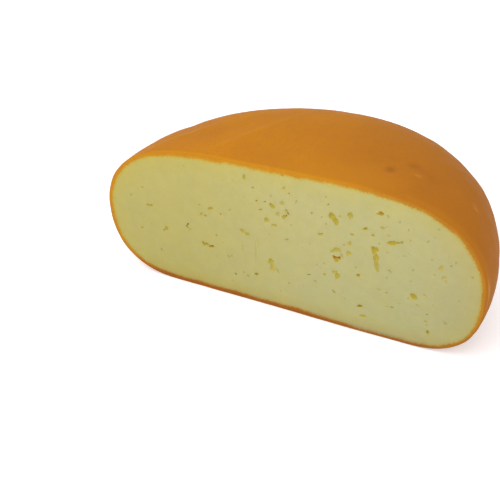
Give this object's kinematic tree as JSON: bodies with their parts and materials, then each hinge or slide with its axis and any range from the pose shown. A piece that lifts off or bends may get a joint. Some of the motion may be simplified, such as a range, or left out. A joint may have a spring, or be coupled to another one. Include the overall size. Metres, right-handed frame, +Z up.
{
  "type": "half havarti cheese wheel",
  "caption": "Half wheel of havarti standing on its flat foot, with a smooth orange rind and a flat cut face of pale paste that small irregular eyes open into.",
  "frame": {"origin": "on the plane that the half wheel stands on, under the middle of its bounding box", "axes": "+X along the cut from end to end, +Y from the cut face towards the round rim, +Z up"},
  "size_m": [0.25, 0.1242, 0.0998],
  "materials": {
    "cheese": "satin orange rind, with pale yellow moist paste on the cut face"
  },
  "bodies": {
    "root": {"half_wheel": "cheese"}
  },
  "joints": []
}
